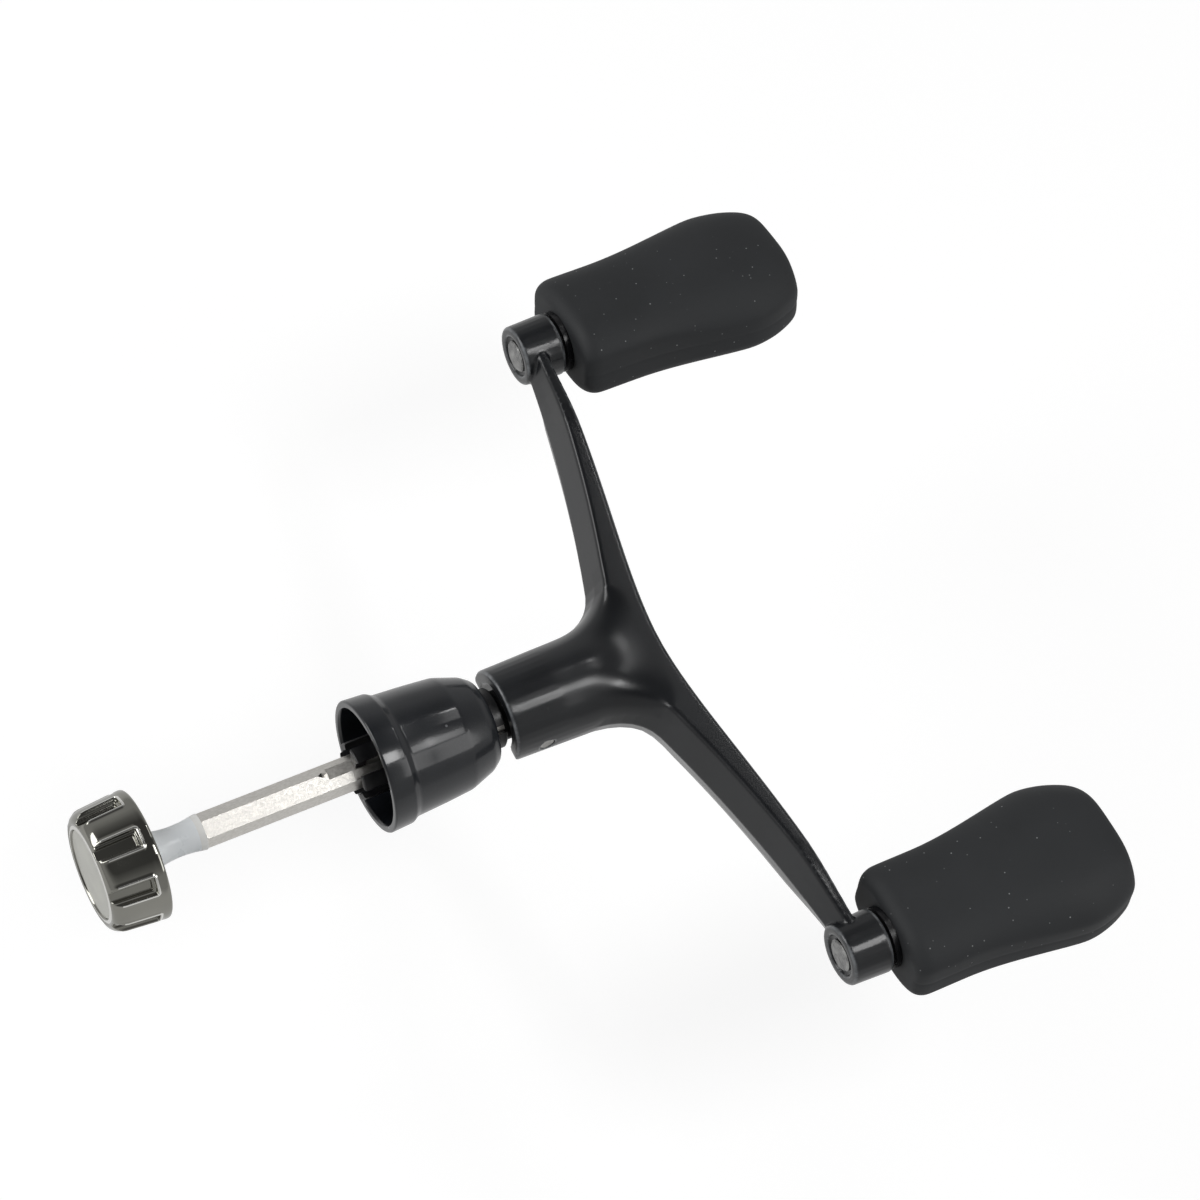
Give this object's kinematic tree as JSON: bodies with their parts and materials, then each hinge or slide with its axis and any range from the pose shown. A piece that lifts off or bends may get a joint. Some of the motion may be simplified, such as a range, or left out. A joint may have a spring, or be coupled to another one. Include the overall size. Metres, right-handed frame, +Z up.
{
  "type": "fishing reel handle",
  "caption": "Folding double handle for a spinning reel: curved crank with two soft paddle knobs, flared seat collar, hexagonal drive shaft and round screw cap.",
  "frame": {"origin": "on the drive shaft's axis, in the plane of the collar's mouth that seats on the reel's body", "axes": "+X along the drive shaft from the screw cap towards the crank, +Y along the span of the two arms towards the far knob, +Z up, normal to the plane of the crank"},
  "size_m": [0.1168, 0.111, 0.0172],
  "materials": {
    "crank_paint": "gloss gunmetal black with a fine metallic flake",
    "collar_paint": "gloss gunmetal black with a fine metallic flake",
    "pin_steel": "satin",
    "rivet_steel": "bright",
    "shaft_nickel": "satin nickel",
    "sleeve_black": "matte black",
    "cap_chrome": "bright plated",
    "cap_disc": "fine matte",
    "clear_sleeve": "milky translucent",
    "bush_brass": "turned",
    "core_plastic": "moulded black",
    "grip_rubber": "soft matte black",
    "plug_rubber": "soft matte black"
  },
  "bodies": {
    "shaft": {"drive_shaft": "shaft_nickel"},
    "collar": {"collar_shell": "collar_paint", "collar_sleeve": "sleeve_black"},
    "crank": {"crank_arm": "crank_paint", "fold_pin": "pin_steel", "far_spindle": "rivet_steel", "far_washer": "sleeve_black", "far_screw": "pin_steel", "near_spindle": "rivet_steel", "near_washer": "sleeve_black", "near_screw": "pin_steel"},
    "cap_seat": {"thread_sleeve": "clear_sleeve"},
    "cap": {"cap_body": "cap_chrome", "cap_disc": "cap_disc", "cap_screw": "pin_steel"},
    "far_knob": {"far_core": "core_plastic", "far_grip": "grip_rubber", "far_inner_bush": "bush_brass", "far_outer_bush": "bush_brass", "far_plug": "plug_rubber"},
    "near_knob": {"near_core": "core_plastic", "near_grip": "grip_rubber", "near_inner_bush": "bush_brass", "near_outer_bush": "bush_brass", "near_plug": "plug_rubber"}
  },
  "joints": [
    {"name": "arm_fold", "type": "hinge", "parent": "shaft", "child": "crank", "pos_m": [0.0221, 0, 0], "axis": [0, 1, 0], "range_deg": [0, 90]},
    {"name": "collar_slide", "type": "slide", "parent": "shaft", "child": "collar", "axis": [-1, 0, 0], "range_m": [-0.0017, 0.00345]},
    {"name": "cap_slide", "type": "slide", "parent": "shaft", "child": "cap_seat", "axis": [-1, 0, 0], "range_m": [0, 0.009]},
    {"name": "cap_turn", "type": "hinge", "parent": "cap_seat", "child": "cap", "pos_m": [-0.032, 0, 0], "axis": [-1, 0, 0], "range_deg": [0, 6481]},
    {"name": "far_knob_spin", "type": "hinge", "parent": "crank", "child": "far_knob", "pos_m": [0.06, 0.045, 0], "axis": [1, 0, 0], "continuous": true},
    {"name": "near_knob_spin", "type": "hinge", "parent": "crank", "child": "near_knob", "pos_m": [0.06, -0.045, 0], "axis": [1, 0, 0], "continuous": true}
  ],
  "couplings": [
    {"joint": "cap_turn", "follows": "cap_slide", "rad_per_m": 12566}
  ]
}
